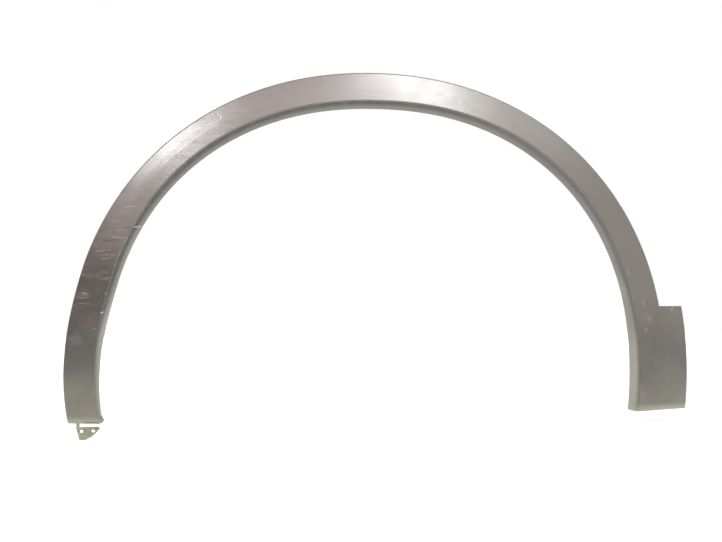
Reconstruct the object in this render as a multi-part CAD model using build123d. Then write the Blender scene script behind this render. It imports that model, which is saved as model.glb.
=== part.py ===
from build123d import *
import math
import os

# Wheel arch trim of a small crossover: one thin moulding that wraps the rim of the wheel opening,
# with the push-in clips that hold it on the body panel.
# Frame: +Z up, +X towards the wide end, the show face looks to -Y and the body panel lies at y = 0.
# The origin is the foot of the locating pin, on the panel, midway over the wheel opening.
# Heights are measured from the wheel centre, and depths inboard from the crease, the foremost line.

# Crease between face and lip: a superellipse about the wheel centre
crease_half_width = 384.3
crease_height = 376.6
crease_squareness = 2.177
leg_drop = 77.0

# The left leg stands out a little from that line around the wheel centre
left_bulge = 3.0
left_bulge_height = -10.0
left_bulge_span = 100.0

# Show face: its width on the legs and over the top, and how far it falls back to its outer edge
face_width_leg = 46.3
face_width_top = 46.1
edge_squareness = 2.103
face_fall = 10.0
face_crown = 0.7
face_crown_radius = 160.0

# Moulded wall: crease, rolled outer edge, and the return lip that rolls in from the crease
wall = 2.6
crease_radius = 3.0
edge_radius = 3.2
edge_return = 7.0
lip_depth = 18.5
lip_depth_left_end = 7.8
lip_roll_in = 4.5
lip_roll_in_left_end = 1.0
lip_roll_depth = 5.5
lip_roll_radius = 12.0
lip_draft_angle = 6.0
lip_taper_share = 0.2

# Wide end of the right leg: its shoulder, its reach from the wheel centre and its bowed side
shoulder_height = 77.0
wide_reach = 472.0
wide_bow_radius = 540.0
wide_bow_height = 2.0

# Lofted bays: the arch is skinned in a few short lengths, each through the same number of sections
arch_bays = 6
bay_steps = 4

# Walls that close both feet and the shoulder, standing this far behind the show face's outer edge
end_wall = 2.6
end_wall_rise = 5.0
foot_round = 2.0

# Body panel and locating pin
panel_depth = 18.0
pin_radius = 3.0
pin_length = 10.0
pin_chamfer = 1.0
pin_boss_radius = 5.5
boss_rib_reach = 12.0
boss_rib_wall = 1.6
boss_rib_drop = 2.0

# Clip houses: three-walled boxes on the back of the face, with a slotted plate
house_length = 22.0
house_width = 20.0
house_wall = 1.8
house_plate = 2.0
house_angles = (168.0, 149.0, 129.0, 109.0, 71.0, 51.0, 31.0)
house_inset = 24.0
wide_house_heights = (45.0, -45.0)

# Push-in clips
clip_head_radius = 6.5
clip_head_thickness = 1.6
clip_neck_radius = 3.0
clip_neck_clearance = 0.25
clip_play = 0.3
clip_flange_radius = 8.0
clip_flange_rim = 0.8
clip_flange_dish = 0.6
clip_shank_radius = 3.4
clip_barb_radius = 4.6
clip_barb_place = 5.0
clip_tip_radius = 1.6
clip_stem_length = 13.0
clip_leg_gap = 1.8

# Fixing tab under the left end, with two oblong screw holes
tab_gap = 5.2
tab_height = 17.2
tab_width = 30.8
tab_side_lean = 4.8
tab_foot_width = 7.0
tab_knee_height = 6.0
tab_knee_inset = 8.1
tab_corner_radius = 1.5
tab_wall = 2.5
tab_depth = 9.5
tab_offset = 11.8
tab_neck_width = 2.8
tab_neck_depth = 5.0
tab_rib_width = 2.0
tab_rib_rise = 0.8
tab_slot_width = 4.0
tab_slot_length = 5.2
tab_slot_inset = 6.9
tab_slot_spacing = 15.2
tab_slot_drop = 5.6

# Small lug at the lower corner of the left lip
lug_height = 10.0
lug_tip_rise = 4.0
lug_reach = 3.5
lug_wall = 2.2

edge_half_width = crease_half_width + face_width_leg
edge_height = crease_height + face_width_top
pin_height = crease_height + face_width_top / 2
clip_flange_depth = panel_depth - clip_flange_rim - clip_flange_dish
house_back = clip_flange_depth - clip_play
core_back = panel_depth + lip_depth


def lerp(start, end, share):
    """Value part of the way from start to end."""
    return start + (end - start) * share


def ease(share):
    """Share from 0 to 1 with a soft start and a soft stop."""
    held = min(max(share, 0.0), 1.0)
    return held * held * (3 - 2 * held)


def curve_x(height, half_width, top, squareness):
    """Half the width of a superellipse at a height above its centre."""
    return half_width * (1 - abs(height / top) ** squareness) ** (1 / squareness)


def curve_point(angle, half_width, top, squareness):
    """Point of a superellipse in the direction of an angle, as (x, height)."""
    across = abs(math.cos(angle) / half_width) ** squareness
    upward = abs(math.sin(angle) / top) ** squareness
    radius = (across + upward) ** (-1 / squareness)
    return radius * math.cos(angle), radius * math.sin(angle)


def left_shift(height):
    """How far the left leg stands out at a height."""
    share = (height - left_bulge_height) / left_bulge_span
    return left_bulge * max(0.0, 1 - share ** 2) ** 2


def stood_out(point):
    """Point of the crease or the outer edge, moved out with the left leg."""
    if point[0] > 0:
        return point
    return point[0] - left_shift(point[1]), point[1]


def crease_at(angle):
    """Point of the crease line in the direction of an angle."""
    return stood_out(curve_point(angle, crease_half_width, crease_height, crease_squareness))


def edge_at(angle):
    """Point of the outer edge in the direction of an angle."""
    return stood_out(curve_point(angle, edge_half_width, edge_height, edge_squareness))


def crease_x(height):
    """Distance of the crease from the middle of the opening."""
    return curve_x(height, crease_half_width, crease_height, crease_squareness)


def edge_x(height):
    """Distance of the outer edge from the middle of the opening."""
    return curve_x(height, edge_half_width, edge_height, edge_squareness)


def wide_x(height):
    """Distance of the wide end's side from the middle of the opening."""
    rise = height - wide_bow_height
    return wide_reach - wide_bow_radius + math.sqrt(wide_bow_radius ** 2 - rise ** 2)


def place(x, depth, height):
    """Point of the frame at a distance, a depth and a height."""
    return Vector(x, depth - panel_depth, height - pin_height)


def section_plane(inner, outer):
    """Plane across the trim: local x runs from crease to outer edge, local y inboard."""
    across = Vector(outer[0] - inner[0], 0, outer[1] - inner[1]).normalized()
    along = across.cross(Vector(0, 1, 0))
    return Plane(origin=place(inner[0], 0, inner[1]), x_dir=across, z_dir=along)


def face_depth(distance):
    """Depth of the flat-sided show face at a distance outward from the crease."""
    crown_place = face_width_leg / 2
    crown_depth = face_fall / 2 - face_crown
    if distance < crown_place:
        return crown_depth * distance / crown_place
    return crown_depth + (face_fall - crown_depth) * (distance - crown_place) / (face_width_leg - crown_place)


def lip_roll(lip):
    """How far the lip rolls in from the crease where it reaches a depth."""
    share = (lip - lip_depth_left_end) / (lip_depth - lip_depth_left_end)
    return lerp(lip_roll_in_left_end, lip_roll_in, share)


def lip_inset(lip):
    """How far the rear edge of the lip stands in from the crease where it reaches a depth."""
    return lip_roll(lip) + (lip - lip_roll_depth) * math.tan(math.radians(lip_draft_angle))


def skin_section(plane, width, lip):
    """Moulded wall in a section plane: rolled lip, crease, crowned face and rolled outer edge."""
    crown_place = face_width_leg / 2
    front = FilletPolyline(
        (-lip_inset(lip), lip),
        (-lip_roll(lip), lip_roll_depth),
        (0, 0),
        (crown_place, face_depth(crown_place)),
        (width, face_depth(width)),
        (width, face_depth(width) + edge_return),
        radius=[lip_roll_radius, crease_radius, face_crown_radius, edge_radius],
    )
    ring = front.wire().offset_2d(wall, kind=Kind.INTERSECTION, side=Side.LEFT, closed=True)
    return plane.from_local_coords(make_face(ring).face())


def core_section(plane, width, lip):
    """Room behind the show face in a section plane, reaching half-way into the wall."""
    half = wall / 2
    crown_place = face_width_leg / 2
    outline = Polyline(
        (half - lip_inset(lip), lip),
        (half - lip_roll(lip), lip_roll_depth),
        (half, face_depth(half) + half),
        (crown_place, face_depth(crown_place) + half),
        (width - half, face_depth(width - half) + half),
        (width - half, core_back),
        close=True,
    )
    return plane.from_local_coords(make_face(outline.wire()).face())


def arch_stations():
    """Section places from the left end to the shoulder: plane, face width and lip depth."""
    left_crease = math.pi + math.atan2(leg_drop, crease_x(leg_drop))
    left_edge = math.pi + math.atan2(leg_drop, edge_x(leg_drop))
    right_crease = math.atan2(shoulder_height, crease_x(shoulder_height))
    right_edge = math.atan2(shoulder_height, edge_x(shoulder_height))
    stations = []
    for index in range(arch_bays * bay_steps + 1):
        share = index / (arch_bays * bay_steps)
        angle = lerp(left_crease, right_crease, share)
        left_turn = (left_edge - left_crease) * (1 - share) ** 3
        right_turn = (right_edge - right_crease) * share ** 3
        inner = crease_at(angle)
        outer = edge_at(angle + left_turn + right_turn)
        lip = lerp(lip_depth_left_end, lip_depth, ease(share / lip_taper_share))
        stations.append((section_plane(inner, outer), math.dist(inner, outer), lip))
    return stations


def wide_stations():
    """Level section places of the wide end, from the shoulder down."""
    stations = []
    for index in range(bay_steps + 1):
        height = lerp(shoulder_height, -leg_drop, index / bay_steps)
        inner = (crease_x(height), height)
        outer = (wide_x(height), height)
        stations.append((section_plane(inner, outer), math.dist(inner, outer), lip_depth))
    return stations


def block(x_span, depth_span, height_span):
    """Box between two distances, two depths and two heights."""
    spans = (x_span, depth_span, height_span)
    middle = [(span[0] + span[1]) / 2 for span in spans]
    size = [span[1] - span[0] for span in spans]
    return Pos(*place(*middle)) * Box(*size)


def skin(stations):
    """Moulded wall through a run of section places."""
    return loft([skin_section(*station) for station in stations])


def core(stations):
    """Room behind the show face through a run of section places."""
    return loft([core_section(*station) for station in stations])


def on_foot(edge):
    """Whether an edge lies in the foot plane, on the show face."""
    middle = edge.center()
    outward = abs(middle.X) - crease_x(leg_drop)
    level = edge.bounding_box().max.Z + pin_height + leg_drop < foot_round / 10
    return level and outward > wall and middle.Y + panel_depth < face_depth(outward) + wall / 2


def rounded_foot(leg):
    """Leg with the edge between its show face and its foot rounded over."""
    return fillet(leg.edges().filter_by(on_foot), min(foot_round, crease_radius, edge_radius))


def left_leg(stations):
    """First bay of the arch, closed across its foot."""
    depth = (0, face_fall + end_wall_rise)
    foot = block((-wide_reach, 0), depth, (-leg_drop, -leg_drop + end_wall))
    return rounded_foot(skin(stations) + (core(stations) & foot))


def wide_leg(stations):
    """Wide end, closed across its foot and along its shoulder."""
    depth = (0, face_depth(wide_x(0) - crease_x(0)) + end_wall_rise)
    foot = block((0, wide_reach), depth, (-leg_drop, -leg_drop + end_wall))
    ledge_start = edge_x(shoulder_height) - wall
    ledge = block((ledge_start, wide_reach), depth, (shoulder_height - end_wall, shoulder_height))
    room = core(stations)
    return rounded_foot(skin(stations) + (room & foot) + (room & ledge))


def house_planes():
    """Centre plane of each clip house: local x outward from the crease, local y along the trim."""
    planes = []
    for angle in house_angles:
        inner = crease_at(math.radians(angle))
        outer = edge_at(math.radians(angle))
        across = section_plane(inner, outer)
        planes.append(seat_plane(across, house_inset))
    for height in wide_house_heights:
        across = section_plane((crease_x(height), height), (wide_x(height), height))
        planes.append(seat_plane(across, house_inset))
    return planes


def seat_plane(across, inset):
    """Plane at crease depth facing inboard, centred a distance outward from the crease."""
    origin = across.from_local_coords(Vector(inset, 0, 0))
    return Plane(origin=origin, x_dir=across.x_dir, z_dir=(0, 1, 0))


def rooted(tower, plane, inset):
    """Tower on a seat plane, cut off along the middle of the show face's wall."""
    tilt = math.degrees(math.atan((face_depth(inset + wall) - face_depth(inset - wall)) / (2 * wall)))
    root = Pos(0, 0, face_depth(inset) + wall / 2) * Rot(0, -tilt, 0)
    return split(plane * tower, bisect_by=plane * root * Plane.XY, keep=Keep.TOP)


def clip_house(plane):
    """House open on one side, with a plate whose slot takes a clip's neck from that side."""
    inner_width = house_width - 2 * house_wall
    walls = Rectangle(house_width, house_length) - Pos(0, house_wall) * Rectangle(inner_width, house_length)
    neck = clip_neck_radius + clip_neck_clearance
    slot = Circle(neck) + Pos(0, house_length / 2) * Rectangle(2 * neck, house_length)
    plate = Rectangle(house_width, house_length) - slot
    tower = rooted(extrude(walls, house_back), plane, house_inset)
    lid = plane * Pos(0, 0, house_back - house_plate) * extrude(plate, house_plate)
    return tower + lid


def pin_post():
    """Ribbed boss up to the panel, carrying the locating pin."""
    plane = seat_plane(section_plane(crease_at(math.pi / 2), edge_at(math.pi / 2)), face_width_top / 2)
    rib_depth = panel_depth - boss_rib_drop
    bar = Rectangle(2 * boss_rib_reach, boss_rib_wall) + Rectangle(boss_rib_wall, 2 * boss_rib_reach)
    boss = extrude(Circle(pin_boss_radius), panel_depth) + extrude(bar, rib_depth)
    pin = Cylinder(pin_radius, pin_length, align=(Align.CENTER, Align.CENTER, Align.MIN))
    pin = chamfer(pin.edges().sort_by(Axis.Z)[-1], pin_chamfer)
    return rooted(boss, plane, face_width_top / 2) + plane * Pos(0, 0, panel_depth) * pin


def fixing_tab():
    """Plate below the left foot, hung from it by a neck, with a low rib between two oblong holes."""
    side = -edge_x(leg_drop) - left_shift(-leg_drop) + tab_offset
    top = -leg_drop - tab_gap
    foot = top - tab_height
    outline = FilletPolyline(
        (side, top),
        (side + tab_side_lean, foot),
        (side + tab_side_lean + tab_foot_width, foot),
        (side + tab_width - tab_knee_inset, foot + tab_knee_height),
        (side + tab_width, top - tab_wall),
        (side + tab_width - tab_wall, top),
        radius=tab_corner_radius,
        close=True,
    )
    plate = make_face(outline.wire())
    for inset in (tab_slot_inset, tab_slot_inset + tab_slot_spacing):
        plate -= Pos(side + inset, top - tab_slot_drop) * SlotOverall(tab_slot_length, tab_slot_width)
    front = Plane(origin=place(0, tab_depth + tab_wall, 0), x_dir=(1, 0, 0), z_dir=(0, -1, 0))
    tab = front * extrude(plate, tab_wall)
    middle = side + tab_slot_inset + tab_slot_spacing / 2
    rib_span = (middle - tab_rib_width / 2, middle + tab_rib_width / 2)
    rib = block(rib_span, (tab_depth - tab_rib_rise, tab_depth + tab_wall / 2), (foot + tab_knee_height, top))
    neck_span = (side, side + tab_neck_width)
    neck_height = (top - tab_wall, -leg_drop + end_wall / 2)
    neck = block(neck_span, (tab_depth, tab_depth + tab_neck_depth), neck_height)
    return [tab, rib, neck]


def lip_lug():
    """Pointed lug on the rear edge of the left lip, by its foot."""
    root = -crease_x(leg_drop) - left_shift(-leg_drop) + lip_inset(lip_depth_left_end) - wall / 2
    foot = -leg_drop
    outline = Polyline(
        (root, foot),
        (root + lug_reach, foot + lug_tip_rise),
        (root, foot + lug_height),
        close=True,
    )
    back = Plane(origin=place(0, lip_depth_left_end, 0), x_dir=(1, 0, 0), z_dir=(0, -1, 0))
    return back * extrude(make_face(outline.wire()), lug_wall)


def arch_moulding():
    """The whole moulding: both skins, closed ends, clip houses, locating pin, tab and lug."""
    stations = arch_stations()
    starts = range(0, len(stations) - 1, bay_steps)
    bays = [stations[start:start + bay_steps + 1] for start in starts]
    body = wide_leg(wide_stations())
    pieces = [left_leg(bays[0])]
    pieces.extend(skin(bay) for bay in bays[1:])
    pieces.extend(clip_house(plane) for plane in house_planes())
    pieces.append(pin_post())
    pieces.extend(fixing_tab())
    pieces.append(lip_lug())
    return body + pieces


def push_in_clip():
    """Clip about its own axis: head, neck, dished flange and barbed stem split into two legs."""
    head_base = house_back - house_plate - clip_head_thickness
    tip = panel_depth + clip_stem_length
    barb = panel_depth + clip_barb_place
    profile = Polyline(
        (0, head_base),
        (clip_head_radius, head_base),
        (clip_head_radius, head_base + clip_head_thickness),
        (clip_neck_radius, head_base + clip_head_thickness),
        (clip_neck_radius, clip_flange_depth),
        (clip_flange_radius, panel_depth - clip_flange_rim),
        (clip_flange_radius, panel_depth),
        (clip_shank_radius, clip_flange_depth + clip_flange_rim),
        (clip_shank_radius, panel_depth + clip_flange_rim),
        (clip_barb_radius, barb),
        (clip_tip_radius, tip),
        (0, tip),
        close=True,
    )
    turned = revolve(Plane.XZ * make_face(profile.wire()), Axis.Z)
    gap_start = panel_depth + clip_flange_rim
    gap_end = tip - clip_flange_rim
    gap = Pos(0, 0, (gap_start + gap_end) / 2) * Box(clip_leg_gap, 4 * clip_barb_radius, gap_end - gap_start)
    return turned - gap


os.makedirs("parts", exist_ok=True)
moulding = arch_moulding()
clip = push_in_clip()
export_step(moulding, "parts/arch_moulding.step")
for number, plane in enumerate(house_planes(), start=1):
    export_step(plane * clip, f"parts/push_in_clip_{number}.step")
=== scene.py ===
"""Wheel arch trim, dressed: grained satin plastic with its wear, painted shade and painted reflections, nylon
clips, studio light and camera.
"""

import logging
import math
from dataclasses import dataclass
from enum import Enum
from typing import Any

import bpy
from mathutils import Euler, Matrix, Vector


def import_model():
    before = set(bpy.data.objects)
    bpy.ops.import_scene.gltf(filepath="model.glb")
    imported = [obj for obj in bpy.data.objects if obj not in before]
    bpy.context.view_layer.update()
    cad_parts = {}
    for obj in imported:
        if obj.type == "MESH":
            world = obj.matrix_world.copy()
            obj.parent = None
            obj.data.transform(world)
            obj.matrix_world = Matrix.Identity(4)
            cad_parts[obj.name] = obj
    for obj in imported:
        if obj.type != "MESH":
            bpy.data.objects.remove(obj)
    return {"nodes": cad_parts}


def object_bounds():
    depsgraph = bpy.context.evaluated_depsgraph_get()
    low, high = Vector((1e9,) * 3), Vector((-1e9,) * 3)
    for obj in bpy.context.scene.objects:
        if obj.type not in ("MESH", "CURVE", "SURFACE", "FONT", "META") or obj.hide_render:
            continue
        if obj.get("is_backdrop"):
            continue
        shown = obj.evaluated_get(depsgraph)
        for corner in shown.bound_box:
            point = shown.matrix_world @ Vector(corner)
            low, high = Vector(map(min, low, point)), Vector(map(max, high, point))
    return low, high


LOG = logging.getLogger("wheel_arch_trim")

Colour = tuple[float, float, float]
Triple = tuple[float, float, float]
Socket = bpy.types.NodeSocket
Source = Socket | float | tuple[float, ...] | Vector

WHITE: Colour = (1.0, 1.0, 1.0)

# Keeps the level place and the height of a point, and drops its depth.
FRONT_VIEW: Triple = (1.0, 0.0, 1.0)

WHEEL_CENTRE_Z = -0.39965
FOOT_HEIGHT = -0.4767
FOOT_BAND = 0.012
TAB_GAP = 0.003

# Level places between which the right side of the trim changes into the left.
RIGHT_SIDE = 0.25
LEFT_SIDE = -0.10

# Places of a Mix node's sockets when it mixes colours.
MIX_SHARE = 0
MIX_FIRST = 6
MIX_SECOND = 7
MIX_RESULT = 2


class Effect(Enum):
    """Shader node groups that the finishes share."""

    GRAIN = "moulded_grain"
    MOTTLE = "faded_mottle"
    HAIRLINES = "hairline_scratches"
    MARK = "single_mark"
    OUTWARD = "outward_from_crease"


class SocketKind(Enum):
    """What an input of a shared effect carries."""

    VALUE = "NodeSocketFloat"
    VECTOR = "NodeSocketVector"


class MarkTone(Enum):
    """Whether a mark bares paler plastic or holds dirt."""

    PALE = "pale"
    DARK = "dark"


def rgba(colour: Colour) -> tuple[float, float, float, float]:
    """Colour with full cover."""
    return (*colour, 1.0)


def on_arch(angle: float, radius: float) -> Vector:
    """Point of the trim's front view in polar terms.

    Args:
        angle: Degrees about the wheel centre, from the wide end over the top.
        radius: Distance from the wheel centre in metres.

    Returns:
        The point, with no depth.
    """
    turn = math.radians(angle)
    return Vector((radius * math.cos(turn), 0.0, WHEEL_CENTRE_Z + radius * math.sin(turn)))


@dataclass
class Graph:
    """A node tree with short calls for the nodes that the finishes use."""

    tree: bpy.types.NodeTree

    def add(self, kind: str, **settings: Any) -> bpy.types.Node:
        """Add a node.

        Args:
            kind: Node type name.
            settings: Properties of the node.

        Returns:
            The new node.
        """
        node = self.tree.nodes.new(kind)
        for name, value in settings.items():
            setattr(node, name, value)
        return node

    def feed(self, socket: Socket, value: Source) -> None:
        """Link a socket to an output, or set its own value.

        Args:
            socket: Input that is fed.
            value: Output, or a number, vector or colour.
        """
        if isinstance(value, Socket):
            self.tree.links.new(value, socket)
        elif socket.type == "RGBA":
            socket.default_value = rgba(value)
        else:
            socket.default_value = value

    def math(self, operation: str, first: Source, second: Source = 0.0, clamp: bool = False) -> Socket:
        """Combine two values.

        Args:
            operation: Name of the operation.
            first: Socket or number.
            second: Socket or number.
            clamp: Whether the result is held between 0 and 1.

        Returns:
            The result's socket.
        """
        node = self.add("ShaderNodeMath", operation=operation, use_clamp=clamp)
        self.feed(node.inputs[0], first)
        self.feed(node.inputs[1], second)
        return node.outputs[0]

    def times(self, first: Source, *others: Source) -> Source:
        """Multiply values.

        Args:
            first: Socket or number.
            others: Sockets or numbers that it is multiplied by.

        Returns:
            The product's socket.
        """
        product = first
        for other in others:
            product = self.math("MULTIPLY", product, other)
        return product

    def most(self, first: Source, second: Source) -> Socket:
        """Greater of two values."""
        return self.math("MAXIMUM", first, second)

    def span(
        self, value: Source, start: Source, end: Source, low: Source = 0.0, high: Source = 1.0
    ) -> Socket:
        """Smoothly turn one span of values into another.

        Args:
            value: Socket that is read.
            start: Value that gives low.
            end: Value that gives high.
            low: Result at the start.
            high: Result at the end.

        Returns:
            The result's socket.
        """
        node = self.add("ShaderNodeMapRange", interpolation_type="SMOOTHSTEP")
        ends = {"From Min": start, "From Max": end, "To Min": low, "To Max": high}
        self.feed(node.inputs["Value"], value)
        for name, item in ends.items():
            self.feed(node.inputs[name], item)
        return node.outputs["Result"]

    def blend(self, share: Source, first: Source, second: Source) -> Socket:
        """Mix two colours.

        Args:
            share: Socket or number, 0 for the first and 1 for the second.
            first: Colour or socket.
            second: Colour or socket.

        Returns:
            The mixed colour's socket.
        """
        node = self.add("ShaderNodeMix", data_type="RGBA")
        self.feed(node.inputs[MIX_SHARE], share)
        self.feed(node.inputs[MIX_FIRST], first)
        self.feed(node.inputs[MIX_SECOND], second)
        return node.outputs[MIX_RESULT]

    def noise(self, vector: Source, scale: Source, detail: float, roughness: float = 0.5) -> Socket:
        """Cloudy noise.

        Args:
            vector: Socket with the place.
            scale: Size of the pattern, as a number or a socket.
            detail: Octaves.
            roughness: Weight of the finer octaves.

        Returns:
            The noise value's socket.
        """
        node = self.add("ShaderNodeTexNoise")
        self.feed(node.inputs["Vector"], vector)
        self.feed(node.inputs["Scale"], scale)
        self.feed(node.inputs["Detail"], detail)
        self.feed(node.inputs["Roughness"], roughness)
        return node.outputs["Fac"]

    def vector(self, operation: str, first: Source, second: Source = (0.0, 0.0, 0.0)) -> bpy.types.Node:
        """Combine two vectors.

        Args:
            operation: Name of the operation.
            first: Socket or vector.
            second: Socket or vector.

        Returns:
            The vector math node.
        """
        node = self.add("ShaderNodeVectorMath", operation=operation)
        self.feed(node.inputs[0], first)
        self.feed(node.inputs[1], second)
        return node

    def parts(self, vector: Source) -> bpy.types.bpy_prop_collection:
        """Split a vector.

        Args:
            vector: Socket with the vector.

        Returns:
            Outputs named X, Y and Z.
        """
        node = self.add("ShaderNodeSeparateXYZ")
        self.feed(node.inputs[0], vector)
        return node.outputs

    def bump(self, height: Source, strength: float, distance: float) -> Socket:
        """Turn a height pattern into a bumpy surface.

        Args:
            height: Socket with the pattern.
            strength: Share of the effect.
            distance: Depth of the pattern in metres.

        Returns:
            Socket with the surface direction.
        """
        node = self.add("ShaderNodeBump")
        self.feed(node.inputs["Strength"], strength)
        self.feed(node.inputs["Distance"], distance)
        self.feed(node.inputs["Height"], height)
        return node.outputs["Normal"]

    def effect(self, effect: Effect, **inputs: Source) -> bpy.types.Node:
        """Place a shared effect.

        Args:
            effect: Which effect.
            inputs: Values or sockets for its inputs.

        Returns:
            The group node.
        """
        node = self.add("ShaderNodeGroup", node_tree=bpy.data.node_groups[effect.value])
        for name, value in inputs.items():
            self.feed(node.inputs[name], value)
        return node


def new_material(name: str) -> tuple[bpy.types.Material, Graph, bpy.types.Node]:
    """Start a material.

    Args:
        name: Name of the material.

    Returns:
        The material, its graph and its Principled shader.
    """
    material = bpy.data.materials.new(name)
    material.use_nodes = True
    graph = Graph(material.node_tree)
    return material, graph, graph.tree.nodes["Principled BSDF"]


@dataclass(frozen=True)
class Span:
    """A smooth change from a low result to a high one, over a span of what is read."""

    start: float
    end: float
    low: float = 0.0
    high: float = 1.0

    def of(self, graph: Graph, value: Socket) -> Socket:
        """Result at a value."""
        return graph.span(value, self.start, self.end, self.low, self.high)


@dataclass(frozen=True)
class Clouds:
    """Soft noise in patches of one size, turned into a span of results."""

    scale: float
    span: Span
    detail: float = 2.0

    def of(self, graph: Graph, place: Socket) -> Socket:
        """Result at a place."""
        return self.span.of(graph, graph.noise(place, self.scale, self.detail))


@dataclass(frozen=True)
class GroupInput:
    """A named input of a shared effect, with its value where none is given."""

    name: str
    kind: SocketKind = SocketKind.VALUE
    default: Source | None = None


PLACE_INPUT = GroupInput("Vector", SocketKind.VECTOR)


@dataclass(frozen=True)
class EffectGroup:
    """A shared effect with its named inputs and outputs."""

    effect: Effect
    inputs: tuple[GroupInput, ...]
    outputs: tuple[str, ...]

    def start(self) -> tuple[Graph, dict[str, Socket], bpy.types.Node]:
        """Make the empty group.

        Returns:
            The group's graph, its input sockets by name and its output node.
        """
        tree = bpy.data.node_groups.new(self.effect.value, "ShaderNodeTree")
        for entry in self.inputs:
            socket = tree.interface.new_socket(entry.name, in_out="INPUT", socket_type=entry.kind.value)
            if entry.default is not None:
                socket.default_value = entry.default
        for name in self.outputs:
            tree.interface.new_socket(name, in_out="OUTPUT", socket_type=SocketKind.VALUE.value)
        graph = Graph(tree)
        given = graph.add("NodeGroupInput")
        leave = graph.add("NodeGroupOutput")
        return graph, {socket.name: socket for socket in given.outputs}, leave


@dataclass(frozen=True)
class CreaseLine:
    """The crease between face and lip: a superellipse about the wheel centre, slightly bulged on the left."""

    half_width: float = 0.3843
    height: float = 0.3766
    squareness: float = 2.177
    bulge: float = 0.003
    bulge_height: float = -0.010
    bulge_span: float = 0.100


@dataclass(frozen=True)
class SharedEffects:
    """Builds every shared effect once."""

    grain_smoothness: float = 0.6
    grain_wave_scale: float = 0.35
    grain_wave_detail: float = 4.0
    mottle_detail: float = 3.0
    mottle_roughness: float = 0.6
    mottle_span: Span = Span(0.3, 0.7)
    hairline_stretch: Triple = (55.0, 55.0, 900.0)
    hairline_spread: float = 0.07
    hairline_detail: float = 2.0
    hairline_roughness: float = 0.55
    hairline_patches: Clouds = Clouds(60.0, Span(0.42, 0.62))
    mark_full_share: float = 0.3
    crease: CreaseLine = CreaseLine()

    def build(self) -> None:
        """Make all the groups."""
        self.grain()
        self.mottle()
        self.hairlines()
        self.mark()
        self.outward()

    def grain(self) -> None:
        """Fine cells of a moulded surface, with a soft wave over them."""
        inputs = (PLACE_INPUT, GroupInput("Scale"), GroupInput("Unevenness"))
        graph, entry, leave = EffectGroup(Effect.GRAIN, inputs, ("Height",)).start()
        cells = graph.add("ShaderNodeTexVoronoi", feature="SMOOTH_F1")
        graph.feed(cells.inputs["Vector"], entry["Vector"])
        graph.feed(cells.inputs["Scale"], entry["Scale"])
        graph.feed(cells.inputs["Smoothness"], self.grain_smoothness)
        wave_scale = graph.times(entry["Scale"], self.grain_wave_scale)
        wave = graph.noise(entry["Vector"], wave_scale, self.grain_wave_detail)
        uneven = graph.times(wave, entry["Unevenness"])
        graph.feed(leave.inputs["Height"], graph.math("ADD", cells.outputs["Distance"], uneven))

    def mottle(self) -> None:
        """Large soft patches, as faded plastic has."""
        inputs = (PLACE_INPUT, GroupInput("Scale"))
        graph, entry, leave = EffectGroup(Effect.MOTTLE, inputs, ("Share",)).start()
        broad = graph.noise(entry["Vector"], entry["Scale"], self.mottle_detail, self.mottle_roughness)
        graph.feed(leave.inputs["Share"], self.mottle_span.of(graph, broad))

    def hairlines(self) -> None:
        """Thin level scratches of many lengths, thinned out by a coarse noise."""
        inputs = (
            PLACE_INPUT,
            GroupInput("Stretch", SocketKind.VECTOR, self.hairline_stretch),
            GroupInput("Threshold"),
            GroupInput("Spread", default=self.hairline_spread),
            GroupInput("Slant"),
        )
        graph, entry, leave = EffectGroup(Effect.HAIRLINES, inputs, ("Mask",)).start()
        turn = graph.add("ShaderNodeVectorRotate", rotation_type="Y_AXIS")
        graph.feed(turn.inputs["Vector"], entry["Vector"])
        graph.feed(turn.inputs["Angle"], entry["Slant"])
        drawn = graph.vector("MULTIPLY", turn.outputs["Vector"], entry["Stretch"]).outputs["Vector"]
        lines = graph.noise(drawn, 1.0, self.hairline_detail, self.hairline_roughness)
        full = graph.math("ADD", entry["Threshold"], entry["Spread"])
        cut = graph.span(lines, entry["Threshold"], full)
        patches = self.hairline_patches.of(graph, entry["Vector"])
        graph.feed(leave.inputs["Mask"], graph.math("MULTIPLY", cut, patches, clamp=True))

    def mark(self) -> None:
        """One scratch or nick: a soft-ended line in the front view, a little unsteady by the wobble."""
        inputs = (
            PLACE_INPUT,
            GroupInput("Middle", SocketKind.VECTOR),
            GroupInput("Slant"),
            GroupInput("Length"),
            GroupInput("Width"),
            GroupInput("Wobble"),
        )
        graph, entry, leave = EffectGroup(Effect.MARK, inputs, ("Mask",)).start()
        cosine = graph.math("COSINE", entry["Slant"])
        sine = graph.math("SINE", entry["Slant"])
        along = self.away(graph, entry, cosine, sine)
        across = self.away(graph, entry, graph.times(sine, -1.0), cosine)
        unsteady = graph.math("ADD", across, graph.times(entry["Wobble"], entry["Width"]))
        half = graph.times(entry["Length"], 0.5)
        body = graph.span(graph.math("ABSOLUTE", unsteady), entry["Width"], 0.0)
        ends = graph.span(graph.math("ABSOLUTE", along), half, graph.times(half, self.mark_full_share))
        graph.feed(leave.inputs["Mask"], graph.math("MULTIPLY", body, ends, clamp=True))

    def away(self, graph: Graph, entry: dict[str, Socket], level: Source, upward: Source) -> Socket:
        """Distance of a place from a mark's middle along one direction of the front view.

        Args:
            graph: Graph of the mark group.
            entry: Inputs of the mark group.
            level: Level part of the direction.
            upward: Upward part of the direction.

        Returns:
            Socket with the distance.
        """
        direction = graph.add("ShaderNodeCombineXYZ")
        graph.feed(direction.inputs["X"], level)
        graph.feed(direction.inputs["Z"], upward)
        here = graph.vector("DOT_PRODUCT", entry["Vector"], direction.outputs[0]).outputs["Value"]
        there = graph.vector("DOT_PRODUCT", entry["Middle"], direction.outputs[0]).outputs["Value"]
        return graph.math("SUBTRACT", here, there)

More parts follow.
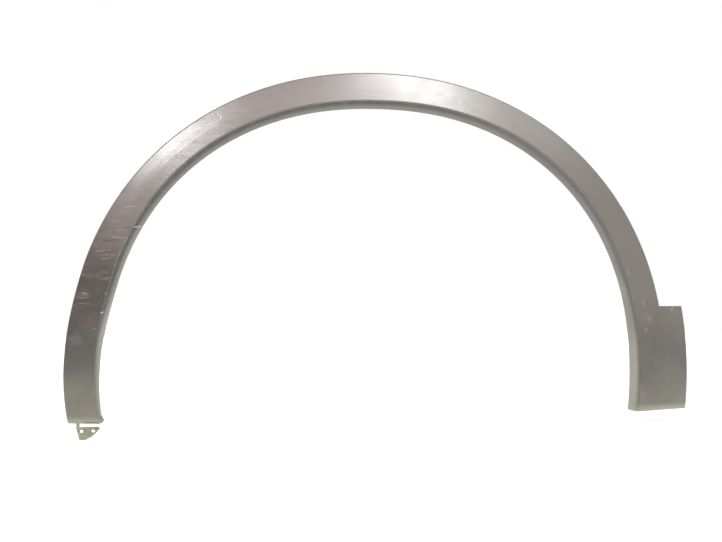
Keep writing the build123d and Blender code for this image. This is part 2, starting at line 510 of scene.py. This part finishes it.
    def outward(self) -> None:
        """Distance outward from the crease in the front view, below zero on the lip."""
        line = self.crease
        graph, entry, leave = EffectGroup(Effect.OUTWARD, (PLACE_INPUT,), ("Distance",)).start()
        parts = graph.parts(entry["Vector"])
        height = graph.math("SUBTRACT", parts["Z"], WHEEL_CENTRE_Z)
        share = graph.math("DIVIDE", graph.math("SUBTRACT", height, line.bulge_height), line.bulge_span)
        swell = graph.math("SUBTRACT", 1.0, graph.times(share, share), clamp=True)
        swell = graph.times(swell, swell, line.bulge)
        on_left = graph.math("LESS_THAN", parts["X"], 0.0)
        level = graph.math("ADD", parts["X"], graph.times(swell, on_left))
        across = graph.math("ABSOLUTE", graph.math("DIVIDE", level, line.half_width))
        upward = graph.math("ABSOLUTE", graph.math("DIVIDE", height, line.height))
        across = graph.math("POWER", across, line.squareness)
        upward = graph.math("POWER", upward, line.squareness)
        ratio = graph.math("POWER", graph.math("ADD", across, upward), 1.0 / line.squareness)
        distance = graph.times(graph.math("SUBTRACT", ratio, 1.0), line.height)
        graph.feed(leave.inputs["Distance"], distance)


@dataclass(frozen=True)
class Spot:
    """What the layers of the moulding's finish read at a place of its surface."""

    place: Socket
    flat: Socket
    across: Socket
    height: Socket
    outward: Socket
    mottle: Socket


@dataclass(frozen=True)
class Area:
    """A round area of the front view with a soft rim."""

    angle: float
    radius: float
    reach: float
    full_share: float = 0.35

    def mask(self, graph: Graph, place: Socket, wander: Source) -> Socket:
        """Share of the area at a place.

        Args:
            graph: Graph that gets the nodes.
            place: Socket with the place in the front view.
            wander: Socket or number, how far the rim strays inward here.

        Returns:
            Socket that is 1 in the middle and 0 outside.
        """
        away = graph.vector("DISTANCE", place, on_arch(self.angle, self.radius)).outputs["Value"]
        return graph.span(graph.math("ADD", away, wander), self.reach, self.reach * self.full_share)


def any_area(graph: Graph, place: Socket, areas: tuple[Area, ...], wander: Source = 0.0) -> Source:
    """Several areas together.

    Args:
        graph: Graph that gets the nodes.
        place: Socket with the place in the front view.
        areas: The areas.
        wander: Socket or number, how far their rims stray inward here.

    Returns:
        Socket that is 1 in the middle of any of them.
    """
    total: Source = 0.0
    for area in areas:
        total = graph.most(total, area.mask(graph, place, wander))
    return total


@dataclass(frozen=True)
class Mark:
    """A scratch or nick of the show face, placed about the wheel centre."""

    angle: float
    radius: float
    length: float
    slant: float = 0.0
    width: float = 0.0007
    strength: float = 0.4
    tone: MarkTone = MarkTone.PALE


LEFT_LEG_MARKS = (
    Mark(147.6, 0.4086, 0.0300, slant=2.0, strength=0.35),
    Mark(151.6, 0.4172, 0.0200, slant=3.0, strength=0.35),
    Mark(152.8, 0.4066, 0.0280, slant=2.0, strength=0.25),
    Mark(154.2, 0.4029, 0.0240, slant=2.0, strength=0.40),
    Mark(157.9, 0.4172, 0.0190, slant=2.0, strength=0.45),
    Mark(158.8, 0.4046, 0.0200, slant=3.0, strength=0.35),
    Mark(162.4, 0.3962, 0.0290, slant=3.0, strength=0.25),
    Mark(162.8, 0.3967, 0.0180, slant=2.0, strength=0.20),
    Mark(166.3, 0.4182, 0.0130, slant=-14.0, strength=0.7),
    Mark(168.2, 0.4142, 0.0260, slant=-5.0, strength=0.25),
    Mark(172.6, 0.3937, 0.0080, slant=-10.0, strength=0.3),
    Mark(190.85, 0.3985, 0.0300, width=0.0018, strength=0.8, tone=MarkTone.DARK),
)
CREASE_MARKS = (
    Mark(150.5, 0.3879, 0.0108, slant=18.0, width=0.0012, strength=0.75),
    Mark(153.8, 0.3907, 0.0114, slant=66.0, strength=0.6),
    Mark(156.8, 0.3903, 0.0078, slant=76.0, strength=0.45),
    Mark(165.3, 0.3889, 0.0070, slant=75.0, strength=0.45),
    Mark(169.2, 0.3875, 0.0054, slant=14.0, width=0.0012, strength=0.7),
)
TOP_MARKS = (
    Mark(123.0, 0.4213, 0.0065, slant=-72.0, width=0.0010, strength=0.9),
    Mark(122.8, 0.4154, 0.0099, slant=-78.0, width=0.0010, strength=0.9),
    Mark(74.3, 0.3957, 0.0051, slant=-70.0, strength=0.8),
    Mark(72.0, 0.3965, 0.0045, slant=60.0, width=0.0014, strength=0.8),
    Mark(72.8, 0.4037, 0.0091, slant=-8.0, strength=0.5, tone=MarkTone.DARK),
    Mark(75.8, 0.4046, 0.0022, width=0.0012, strength=0.6, tone=MarkTone.DARK),
)
RIGHT_MARKS = (
    Mark(9.2, 0.4533, 0.0082, slant=65.0, width=0.0010, strength=0.85),
    Mark(8.1, 0.4090, 0.0097, slant=-58.0, width=0.0020, strength=0.25),
    Mark(6.1, 0.3996, 0.0051, slant=60.0, width=0.0016, strength=0.4),
    Mark(11.6, 0.4035, 0.0166, slant=-81.0, width=0.0016, strength=0.2),
    Mark(-0.1, 0.4328, 0.0040, slant=-57.0, width=0.0012, strength=0.25),
    Mark(19.0, 0.3934, 0.0120, slant=-85.0, width=0.0012, strength=0.35),
    Mark(29.3, 0.3898, 0.0030, slant=-60.0, width=0.0012, strength=0.5, tone=MarkTone.DARK),
)


@dataclass(frozen=True)
class SingleMarks:
    """The scratches and nicks that can be told apart."""

    marks: tuple[Mark, ...] = LEFT_LEG_MARKS + CREASE_MARKS + TOP_MARKS + RIGHT_MARKS
    wobble: Clouds = Clouds(110.0, Span(0.3, 0.7, -0.35, 0.35))

    def share(self, graph: Graph, spot: Spot, tone: MarkTone) -> Source:
        """All marks of one tone.

        Args:
            graph: Graph that gets the nodes.
            spot: What is read at the place.
            tone: Which marks.

        Returns:
            Socket with the share of marked surface.
        """
        wobble = self.wobble.of(graph, spot.flat)
        total: Source = 0.0
        for mark in self.marks:
            if mark.tone is not tone:
                continue
            node = graph.effect(
                Effect.MARK,
                Vector=spot.flat,
                Middle=on_arch(mark.angle, mark.radius),
                Slant=math.radians(mark.slant),
                Length=mark.length,
                Width=mark.width,
                Wobble=wobble,
            )
            total = graph.most(total, graph.times(node.outputs["Mask"], mark.strength))
        return total


@dataclass(frozen=True)
class FadedPlasticWithShade:
    """The plastic's colour: sun-faded on the upper left, with painted shade down the legs and a lighter band
    towards the feet that is dust and a painted reflection of the floor.
    """

    faded: Colour = (0.184, 0.144, 0.135)
    shaded: Colour = (0.158, 0.140, 0.119)
    # Painted shade: the near-black colour laid over the lower legs and the wide end.
    painted_shade: Colour = (0.068, 0.064, 0.050)
    # Painted shade in brown, high on the left leg.
    brown_painted_shade: Colour = (0.094, 0.075, 0.069)
    # Dust and a painted reflection of the floor: lighter towards the feet.
    dusty_and_sheen: Colour = (0.172, 0.157, 0.114)
    drift: Span = Span(0.0, 1.0, -0.05, 0.05)
    leg_drift_share: float = 0.3
    faded_upward: Span = Span(-0.36, -0.22)
    faded_leftward: Span = Span(RIGHT_SIDE, LEFT_SIDE)
    painted_shade_downward: Span = Span(-0.240, -0.375)
    painted_shade_tilt: float = 0.15
    brown_shade_leftward: Span = Span(0.10, -0.10)
    brown_shade_upward: Span = Span(-0.362, -0.340)
    dusty_sheen_downward: Span = Span(-0.395, FOOT_HEIGHT)

    def colour(self, graph: Graph, spot: Spot) -> Socket:
        """Colour with the painted shade of the legs, before the crease shade, the lip's film and the marks.

        Args:
            graph: Graph that gets the nodes.
            spot: What is read at the place.

        Returns:
            Socket with the colour.
        """
        drift = self.drift.of(graph, spot.mottle)
        upper = self.faded_upward.of(graph, graph.math("ADD", spot.height, drift))
        sunny = self.faded_leftward.of(graph, graph.math("ADD", spot.across, drift))
        colour = graph.blend(graph.times(upper, sunny), self.shaded, self.faded)
        height = graph.math("ADD", spot.height, graph.times(drift, self.leg_drift_share))
        # Painted shade: the lower legs and the wide end are darkened, reaching higher on the left, brown high
        # on the left leg and near black below.
        tilted = graph.math("ADD", height, graph.times(spot.across, self.painted_shade_tilt))
        on_left = self.brown_shade_leftward.of(graph, spot.across)
        warm = graph.times(on_left, self.brown_shade_upward.of(graph, height))
        dark = graph.blend(warm, self.painted_shade, self.brown_painted_shade)
        colour = graph.blend(self.painted_shade_downward.of(graph, tilted), colour, dark)
        # Lighter towards the feet: dust and a painted reflection of the floor.
        return graph.blend(self.dusty_sheen_downward.of(graph, height), colour, self.dusty_and_sheen)


@dataclass(frozen=True)
class SoftPatches:
    """Grey smudges and rosy worn places of the face, with uneven rims."""

    smudge: Colour = (0.140, 0.133, 0.133)
    smudged: tuple[Area, ...] = (Area(174.9, 0.4205, 0.014), Area(36.0, 0.412, 0.020))
    rosy: Colour = (0.192, 0.152, 0.140)
    worn: tuple[Area, ...] = (
        Area(25.4, 0.403, 0.022),
        Area(13.6, 0.402, 0.018),
        Area(8.9, 0.402, 0.015),
        Area(-7.0, 0.389, 0.012),
    )
    rim: Clouds = Clouds(75.0, Span(0.3, 0.7, -0.004, 0.004))
    cover: Clouds = Clouds(60.0, Span(0.25, 0.65, 0.2, 0.6), detail=3.0)

    def over(self, graph: Graph, spot: Spot, colour: Socket) -> Socket:
        """Lay the patches over a colour.

        Args:
            graph: Graph that gets the nodes.
            spot: What is read at the place.
            colour: Socket with the colour so far.

        Returns:
            Socket with the colour.
        """
        wander = self.rim.of(graph, spot.flat)
        cover = self.cover.of(graph, spot.place)
        for areas, tone in ((self.smudged, self.smudge), (self.worn, self.rosy)):
            share = graph.times(any_area(graph, spot.flat, areas, wander), cover)
            colour = graph.blend(share, colour, tone)
        return colour


@dataclass(frozen=True)
class CreaseShade:
    """Painted shade: a dark line along the crease, thinner on the right and gone at the feet."""

    # Painted shade: near-black colour of the crease line.
    dirt_and_shade: Colour = (0.016, 0.015, 0.012)
    inward: Span = Span(0.0006, -0.0010)
    upward: Span = Span(-0.40, -0.35)
    leftward: Span = Span(RIGHT_SIDE, LEFT_SIDE, 0.60, 1.0)
    broken: Clouds = Clouds(70.0, Span(0.35, 0.60, 0.8, 1.0))

    def over(self, graph: Graph, spot: Spot, colour: Socket) -> Socket:
        """Lay the painted crease shade over a colour.

        Args:
            graph: Graph that gets the nodes.
            spot: What is read at the place.
            colour: Socket with the colour so far.

        Returns:
            Socket with the colour.
        """
        # Painted shade along the crease, broken up by noise.
        line = graph.times(self.inward.of(graph, spot.outward), self.upward.of(graph, spot.height))
        weight = graph.times(self.broken.of(graph, spot.place), self.leftward.of(graph, spot.across))
        return graph.blend(graph.times(line, weight), colour, self.dirt_and_shade)


@dataclass(frozen=True)
class DustAndPaintedLight:
    """The lip's colour, painted shade at the top and dust with a painted reflection down the legs, reaching a
    little past the crease low on the legs; a band of dust and painted floor light on the feet; dust on the
    tab.
    """

    # Painted shade on the lip at the top; dust with a painted reflection on the lip down the legs.
    lip_shade: Colour = (0.218, 0.202, 0.171)
    lip_dust_and_sheen: Colour = (0.338, 0.321, 0.255)
    # Dust and painted floor light in a band along the feet.
    foot_dust_and_sheen: Colour = (0.387, 0.380, 0.274)
    tab_film: Colour = (0.337, 0.344, 0.234)
    tab_dirt: Colour = (0.175, 0.178, 0.119)
    patchy: Span = Span(0.0, 1.0, 0.7, 1.0)
    lip_inward: Span = Span(-0.0020, -0.0062)
    lip_downward: Span = Span(-0.10, -0.40)
    rise_leftward: Span = Span(RIGHT_SIDE, LEFT_SIDE, 0.0024, 0.0042)
    rise_downward: Span = Span(-0.26, -0.395)
    foot_downward: Span = Span(FOOT_HEIGHT + FOOT_BAND, FOOT_HEIGHT)
    tab_downward: Span = Span(FOOT_HEIGHT - TAB_GAP, FOOT_HEIGHT - 2.0 * TAB_GAP)
    tab_specks: Clouds = Clouds(260.0, Span(0.42, 0.66), detail=3.0)

    def over(self, graph: Graph, spot: Spot, colour: Socket) -> Socket:
        """Lay the lip's painted shade and reflection, the feet's band and the tab's dust over a colour.

        Args:
            graph: Graph that gets the nodes.
            spot: What is read at the place.
            colour: Socket with the colour so far.

        Returns:
            Socket with the colour.
        """
        patchy = self.patchy.of(graph, spot.mottle)
        low = self.rise_downward.of(graph, spot.height)
        rise = graph.times(self.rise_leftward.of(graph, spot.across), low)
        # The lip: painted shade at the top, dust and a painted reflection down the legs.
        lip = self.lip_inward.of(graph, graph.math("SUBTRACT", spot.outward, rise))
        dust_and_painted_light = graph.blend(self.lip_downward.of(graph, spot.height), self.lip_shade, self.lip_dust_and_sheen)
        colour = graph.blend(graph.times(lip, patchy), colour, dust_and_painted_light)
        # The feet: a band of dust and painted floor light.
        foot = graph.times(self.foot_downward.of(graph, spot.height), patchy)
        colour = graph.blend(foot, colour, self.foot_dust_and_sheen)
        tab = graph.blend(self.tab_specks.of(graph, spot.place), self.tab_film, self.tab_dirt)
        return graph.blend(self.tab_downward.of(graph, spot.height), colour, tab)


@dataclass(frozen=True)
class Scuffs:
    """Fine level wear of the scuffed face: pale hairlines, dark streaks and soft wiped bands."""

    areas: tuple[Area, ...] = (
        Area(157.0, 0.405, 0.15),
        Area(139.0, 0.405, 0.10),
        Area(127.0, 0.405, 0.10),
        Area(75.0, 0.40, 0.08),
    )
    face: Span = Span(-0.0005, 0.0030)
    hairline_threshold: float = 0.60
    hairline_share: float = 0.22
    streak_threshold: float = 0.56
    streak_slant: float = 0.03
    streak_shift: Triple = (0.31, 0.0, 0.17)
    streak_share: float = 0.45
    wipe_stretch: Triple = (16.0, 16.0, 130.0)
    wipe_threshold: float = 0.5
    wipe_spread: float = 0.16
    wipe_pale: Colour = (0.292, 0.243, 0.238)
    wipe_pale_share: float = 0.32
    wipe_dark: Colour = (0.049, 0.043, 0.038)
    wipe_dark_share: float = 0.45

    def share(self, graph: Graph, spot: Spot) -> Source:
        """Share of scuffed face."""
        return graph.times(any_area(graph, spot.flat, self.areas), self.face.of(graph, spot.outward))

    def hairlines(self, graph: Graph, spot: Spot, scuffed: Source) -> Source:
        """Pale hairlines.

        Args:
            graph: Graph that gets the nodes.
            spot: What is read at the place.
            scuffed: Socket with the share of scuffed face.

        Returns:
            Socket with the share of bared plastic.
        """
        lines = graph.effect(Effect.HAIRLINES, Vector=spot.flat, Threshold=self.hairline_threshold)
        return graph.times(lines.outputs["Mask"], scuffed, self.hairline_share)

    def streaks(self, graph: Graph, spot: Spot, scuffed: Source) -> Source:
        """Dark streaks between the hairlines.

        Args:
            graph: Graph that gets the nodes.
            spot: What is read at the place.
            scuffed: Socket with the share of scuffed face.

        Returns:
            Socket with the share of dirt.
        """
        shifted = graph.vector("ADD", spot.flat, self.streak_shift).outputs["Vector"]
        lines = graph.effect(
            Effect.HAIRLINES, Vector=shifted, Threshold=self.streak_threshold, Slant=self.streak_slant
        )
        return graph.times(lines.outputs["Mask"], scuffed, self.streak_share)

    def wiped(self, graph: Graph, spot: Spot, scuffed: Source, colour: Socket) -> Socket:
        """Soft level bands, paler and darker by turns.

        Args:
            graph: Graph that gets the nodes.
            spot: What is read at the place.
            scuffed: Socket with the share of scuffed face.
            colour: Socket with the colour so far.

        Returns:
            Socket with the colour.
        """
        bands = (
            (self.wipe_spread, self.wipe_pale_share, self.wipe_pale),
            (-self.wipe_spread, self.wipe_dark_share, self.wipe_dark),
        )
        for spread, share, tone in bands:
            band = graph.effect(
                Effect.HAIRLINES,
                Vector=spot.flat,
                Stretch=self.wipe_stretch,
                Threshold=self.wipe_threshold,
                Spread=spread,
            )
            colour = graph.blend(graph.times(band.outputs["Mask"], scuffed, share), colour, tone)
        return colour


@dataclass(frozen=True)
class RubbedCrease:
    """Pale specks where the crease is rubbed."""

    areas: tuple[Area, ...] = (Area(163.0, 0.39, 0.10), Area(10.0, 0.39, 0.06))
    middle: float = 0.0006
    near: Span = Span(0.0022, 0.0)
    specks: Clouds = Clouds(420.0, Span(0.63, 0.74))
    strength: float = 0.5

    def share(self, graph: Graph, spot: Spot) -> Source:
        """Specks at a place.

        Args:
            graph: Graph that gets the nodes.
            spot: What is read at the place.

        Returns:
            Socket with the share of bared plastic.
        """
        away = graph.math("ABSOLUTE", graph.math("SUBTRACT", spot.outward, self.middle))
        specks = graph.times(self.near.of(graph, away), self.specks.of(graph, spot.flat))
        return graph.times(specks, self.strength, any_area(graph, spot.flat, self.areas))


@dataclass(frozen=True)
class SatinPlastic:
    """Grained exterior plastic: faded, dusty and scratched on the show side, with painted shade and painted
    reflections in its colour, plain on the back.
    """

    ground: FadedPlasticWithShade = FadedPlasticWithShade()
    patches: SoftPatches = SoftPatches()
    crease: CreaseShade = CreaseShade()
    dust_and_painted_light: DustAndPaintedLight = DustAndPaintedLight()
    scuffs: Scuffs = Scuffs()
    marks: SingleMarks = SingleMarks()
    rubbed: RubbedCrease = RubbedCrease()
    bare: Colour = (0.720, 0.675, 0.652)
    dirt_and_shade: Colour = (0.068, 0.061, 0.054)
    back: Colour = (0.083, 0.078, 0.074)
    back_dust: Colour = (0.136, 0.128, 0.112)
    back_dust_share: float = 0.6
    show_side: Span = Span(0.12, -0.02)
    mottle_scale: float = 11.0
    gloss_index: float = 2.0
    roughness: Span = Span(0.0, 1.0, 0.28, 0.34)
    worn_roughness: float = 0.10
    grain_scale: float = 1100.0
    grain_unevenness: float = 0.8
    grain_strength: float = 0.5
    grain_depth: float = 0.00004
    scratch_depth_share: float = 0.3

    def spot(self, graph: Graph, place: Socket) -> Spot:
        """Read what the layers need.

        Args:
            graph: Graph that gets the nodes.
            place: Socket with the place.

        Returns:
            What is read at the place.
        """
        parts = graph.parts(place)
        return Spot(
            place=place,
            flat=graph.vector("MULTIPLY", place, FRONT_VIEW).outputs["Vector"],
            across=parts["X"],
            height=parts["Z"],
            outward=graph.effect(Effect.OUTWARD, Vector=place).outputs["Distance"],
            mottle=graph.effect(Effect.MOTTLE, Vector=place, Scale=self.mottle_scale).outputs["Share"],
        )

    def shown(self, graph: Graph, spot: Spot, scuffed: Source) -> Socket:
        """Colour of the show side before any scratch.

        Args:
            graph: Graph that gets the nodes.
            spot: What is read at the place.
            scuffed: Socket with the share of scuffed face.

        Returns:
            Socket with the colour.
        """
        colour = self.ground.colour(graph, spot)
        for layer in (self.patches, self.crease, self.dust_and_painted_light):
            colour = layer.over(graph, spot, colour)
        return self.scuffs.wiped(graph, spot, scuffed, colour)

    def hidden(self, graph: Graph, spot: Spot) -> Socket:
        """Colour of the back."""
        return graph.blend(graph.times(spot.mottle, self.back_dust_share), self.back, self.back_dust)

    def scratched(self, graph: Graph, spot: Spot, scuffed: Source) -> Socket:
        """Single scratches, hairlines and the rubbed specks of the crease.

        Args:
            graph: Graph that gets the nodes.
            spot: What is read at the place.
            scuffed: Socket with the share of scuffed face.

        Returns:
            Socket with the share of bared plastic.
        """
        single = self.marks.share(graph, spot, MarkTone.PALE)
        fine = self.scuffs.hairlines(graph, spot, scuffed)
        rubbed = self.rubbed.share(graph, spot)
        return graph.math("MAXIMUM", graph.most(single, fine), rubbed, clamp=True)

    def stained(self, graph: Graph, spot: Spot, scuffed: Source) -> Socket:
        """Single dark nicks and the dark streaks, as a share of dirt."""
        single = self.marks.share(graph, spot, MarkTone.DARK)
        return graph.most(single, self.scuffs.streaks(graph, spot, scuffed))

    def material(self) -> bpy.types.Material:
        """Build the finish.

        Returns:
            The material.
        """
        material, graph, shader = new_material("grained_satin_plastic")
        where = graph.add("ShaderNodeTexCoord")
        spot = self.spot(graph, where.outputs["Object"])
        front = self.show_side.of(graph, graph.parts(where.outputs["Normal"])["Y"])
        scuffed = self.scuffs.share(graph, spot)
        colour = graph.blend(front, self.hidden(graph, spot), self.shown(graph, spot, scuffed))
        scratches = graph.times(self.scratched(graph, spot, scuffed), front)
        stains = graph.times(self.stained(graph, spot, scuffed), front)
        colour = graph.blend(scratches, colour, self.bare)
        graph.feed(shader.inputs["Base Color"], graph.blend(stains, colour, self.dirt_and_shade))
        graph.feed(shader.inputs["IOR"], self.gloss_index)
        worn = graph.times(graph.most(scratches, stains), self.worn_roughness)
        rough = self.roughness.of(graph, spot.mottle)
        graph.feed(shader.inputs["Roughness"], graph.math("ADD", rough, worn, clamp=True))
        grain = graph.effect(
            Effect.GRAIN, Vector=spot.place, Scale=self.grain_scale, Unevenness=self.grain_unevenness
        )
        cuts = graph.times(scratches, self.scratch_depth_share)
        relief = graph.math("SUBTRACT", grain.outputs["Height"], cuts)
        graph.feed(shader.inputs["Normal"], graph.bump(relief, self.grain_strength, self.grain_depth))
        return material


@dataclass(frozen=True)
class ClipNylon:
    """Natural nylon of the push-in clips: milky, slightly uneven, with fine moulding grain."""

    pale: Colour = (0.72, 0.70, 0.63)
    warm: Colour = (0.62, 0.59, 0.50)
    mottle_scale: float = 140.0
    roughness: Span = Span(0.0, 1.0, 0.38, 0.48)
    grain_scale: float = 1800.0
    grain_unevenness: float = 0.5
    grain_strength: float = 0.4
    grain_depth: float = 0.00003

    def material(self) -> bpy.types.Material:
        """Build the finish.

        Returns:
            The material.
        """
        material, graph, shader = new_material("natural_nylon")
        place = graph.add("ShaderNodeTexCoord").outputs["Object"]
        mottle = graph.effect(Effect.MOTTLE, Vector=place, Scale=self.mottle_scale).outputs["Share"]
        graph.feed(shader.inputs["Base Color"], graph.blend(mottle, self.pale, self.warm))
        graph.feed(shader.inputs["Roughness"], self.roughness.of(graph, mottle))
        grain = graph.effect(
            Effect.GRAIN, Vector=place, Scale=self.grain_scale, Unevenness=self.grain_unevenness
        )
        normal = graph.bump(grain.outputs["Height"], self.grain_strength, self.grain_depth)
        graph.feed(shader.inputs["Normal"], normal)
        return material


def dress(piece: bpy.types.Object, material: bpy.types.Material) -> None:
    """Give a piece its finish.

    Args:
        piece: Object of the frame.
        material: The finish.
    """
    piece.data.materials.clear()
    piece.data.materials.append(material)
    LOG.info("dressed %s", piece.name)


@dataclass
class ArchMoulding:
    """The moulding itself, carried over from the solids."""

    node: str = "arch_moulding"
    finish: SatinPlastic = SatinPlastic()

    def build(self, nodes: dict[str, bpy.types.Object]) -> None:
        """Dress the moulding, found among the frame's objects by name."""
        dress(nodes[self.node], self.finish.material())


@dataclass
class PushInClips:
    """The clips in their houses on the moulding's back."""

    prefix: str = "push_in_clip_"
    finish: ClipNylon = ClipNylon()

    def build(self, nodes: dict[str, bpy.types.Object]) -> None:
        """Dress every clip.

        Args:
            nodes: Objects of the frame by name.
        """
        nylon = self.finish.material()
        for name, piece in nodes.items():
            if name.startswith(self.prefix):
                dress(piece, nylon)


@dataclass(frozen=True)
class Lamp:
    """A flat soft lamp that looks at a point of the trim."""

    name: str
    target: Vector
    towards: Vector
    width: float
    height: float
    glow: float
    tint: Colour = WHITE
    distance: float = 2.6

    def hang(self) -> None:
        """Hang the lamp, with the power that gives its face the wanted glow."""
        data = bpy.data.lights.new(self.name, "AREA")
        data.color = self.tint
        data.shape = "RECTANGLE"
        data.size = self.width
        data.size_y = self.height
        data.energy = math.pi * self.width * self.height * self.glow
        lamp = bpy.data.objects.new(self.name, data)
        lamp.location = self.target + self.towards.normalized() * self.distance
        lamp.rotation_euler = self.towards.to_track_quat("Z", "Y").to_euler()
        bpy.context.scene.collection.objects.link(lamp)
        LOG.info("hung %s", self.name)


SHOULDER = on_arch(132.0, 0.40)
TOP = on_arch(83.0, 0.40)
WIDE_END = on_arch(5.0, 0.40)
WARM_TINT: Colour = (1.0, 0.97, 0.92)

# A broad lamp over the front, the two that shoulder and top mirror, and a fill for the wide end.
LAMPS = (
    Lamp("broad_lamp", TOP, Vector((0.23, -0.70, 0.68)), width=3.1, height=1.6, glow=1.52),
    Lamp("shoulder_lamp", SHOULDER, Vector((-0.495, -0.64, 0.585)), width=0.95, height=0.52, glow=17.6),
    Lamp("top_lamp", TOP, Vector((0.225, -0.675, 0.705)), width=0.60, height=0.85, glow=16.2),
    Lamp(
        "fill_lamp",
        WIDE_END,
        Vector((0.77, -0.51, 0.38)),
        width=2.2,
        height=2.1,
        glow=0.55,
        tint=WARM_TINT,
    ),
)


@dataclass(frozen=True)
class FrontCamera:
    """The camera of the front view, turned in degrees from a level look along the depth."""

    name: str = "front_view"
    place: Triple = (-0.10726, -0.86445, -0.32671)
    yaw: float = 5.438
    pitch: float = 3.780
    roll: float = 0.359
    sensor: float = 36.0
    focal_pixels: float = 600.0
    picture_width: float = 722.0
    nearest: float = 0.01

    def set_up(self) -> None:
        """Place the camera and make it the scene's own."""
        data = bpy.data.cameras.new(self.name)
        data.sensor_width = self.sensor
        data.sensor_fit = "HORIZONTAL"
        data.lens = self.focal_pixels / self.picture_width * self.sensor
        data.clip_start = self.nearest
        camera = bpy.data.objects.new(self.name, data)
        level_look = Euler((math.radians(90.0 + self.pitch), 0.0, math.radians(-self.yaw))).to_matrix()
        turned = level_look @ Matrix.Rotation(math.radians(-self.roll), 3, "Z")
        camera.matrix_world = Matrix.Translation(self.place) @ turned.to_4x4()
        bpy.context.scene.collection.objects.link(camera)
        bpy.context.scene.camera = camera
        LOG.info("set up %s", self.name)


@dataclass
class Studio:
    """Pale floor, pale surroundings, soft lamps and the camera."""

    floor_reach: float = 4.0
    floor_sides: int = 96
    floor_colour: Colour = (0.86, 0.86, 0.85)
    floor_roughness: float = 0.9
    floor_glow: Span = Span(1.0, 2.2, 0.45, 1.0)
    floor_mirrored: float = 0.2
    room_behind: Span = Span(-0.05, 0.25)
    room_front: Span = Span(-0.3, -0.7, 0.120, 0.133)
    lamps: tuple[Lamp, ...] = LAMPS
    camera: FrontCamera = FrontCamera()

    def build(self, level: float) -> None:
        """Set up everything around the trim.

        Args:
            level: Height of the floor.
        """
        self.floor(level)
        self.surroundings()
        for lamp in self.lamps:
            lamp.hang()
        self.camera.set_up()
        bpy.context.scene.view_settings.view_transform = "Standard"

    def floor(self, level: float) -> None:
        """Lay the floor, which glows white towards its rim.

        Args:
            level: Height of the lowest point of the trim.
        """
        bpy.ops.object.select_all(action="DESELECT")
        bpy.ops.mesh.primitive_circle_add(
            vertices=self.floor_sides, radius=self.floor_reach, fill_type="NGON"
        )
        floor = bpy.context.object
        floor.name = "studio_floor"
        floor.data.transform(Matrix.Translation((0.0, 0.0, level)))
        material, graph, shader = new_material("pale_floor")
        graph.feed(shader.inputs["Base Color"], self.floor_colour)
        graph.feed(shader.inputs["Roughness"], self.floor_roughness)
        graph.feed(shader.inputs["Emission Color"], WHITE)
        away = graph.vector("LENGTH", graph.add("ShaderNodeTexCoord").outputs["Object"])
        glow = self.floor_glow.of(graph, away.outputs["Value"])
        seen = self.seen(graph, self.floor_mirrored)
        graph.feed(shader.inputs["Emission Strength"], graph.times(seen, glow))
        floor.data.materials.append(material)
        floor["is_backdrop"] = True

    def surroundings(self) -> None:
        """White behind the trim and for the camera, a dim room elsewhere."""
        world = bpy.data.worlds.new("studio")
        bpy.context.scene.world = world
        world.use_nodes = True
        graph = Graph(world.node_tree)
        background = graph.tree.nodes["Background"]
        direction = graph.parts(graph.add("ShaderNodeTexCoord").outputs["Generated"])
        behind = self.room_behind.of(graph, direction["Y"])
        room = graph.blend(behind, self.room_front.of(graph, direction["Y"]), WHITE)
        graph.feed(background.inputs["Color"], graph.blend(self.seen(graph, behind), room, WHITE))
        graph.feed(background.inputs["Strength"], 1.0)

    def seen(self, graph: Graph, mirrored: Source) -> Socket:
        """Share of a white surround that a ray meets.

        Args:
            graph: Graph that gets the nodes.
            mirrored: Socket or number, the share that a reflection meets.

        Returns:
            Socket that is 1 for the camera and through clear material, and 0 for the light on a surface.
        """
        path = graph.add("ShaderNodeLightPath")
        reflected = graph.times(path.outputs["Is Glossy Ray"], mirrored)
        shown = graph.most(path.outputs["Is Camera Ray"], reflected)
        return graph.most(shown, path.outputs["Is Transmission Ray"])


def main() -> None:
    """Load the frame, dress it and set up the studio."""
    logging.basicConfig(level=logging.INFO, format="%(name)s: %(message)s")
    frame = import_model()
    solid_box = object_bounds()
    SharedEffects().build()
    ArchMoulding().build(frame["nodes"])
    PushInClips().build(frame["nodes"])
    Studio().build(solid_box[0][2])


if __name__ == "__main__":
    main()
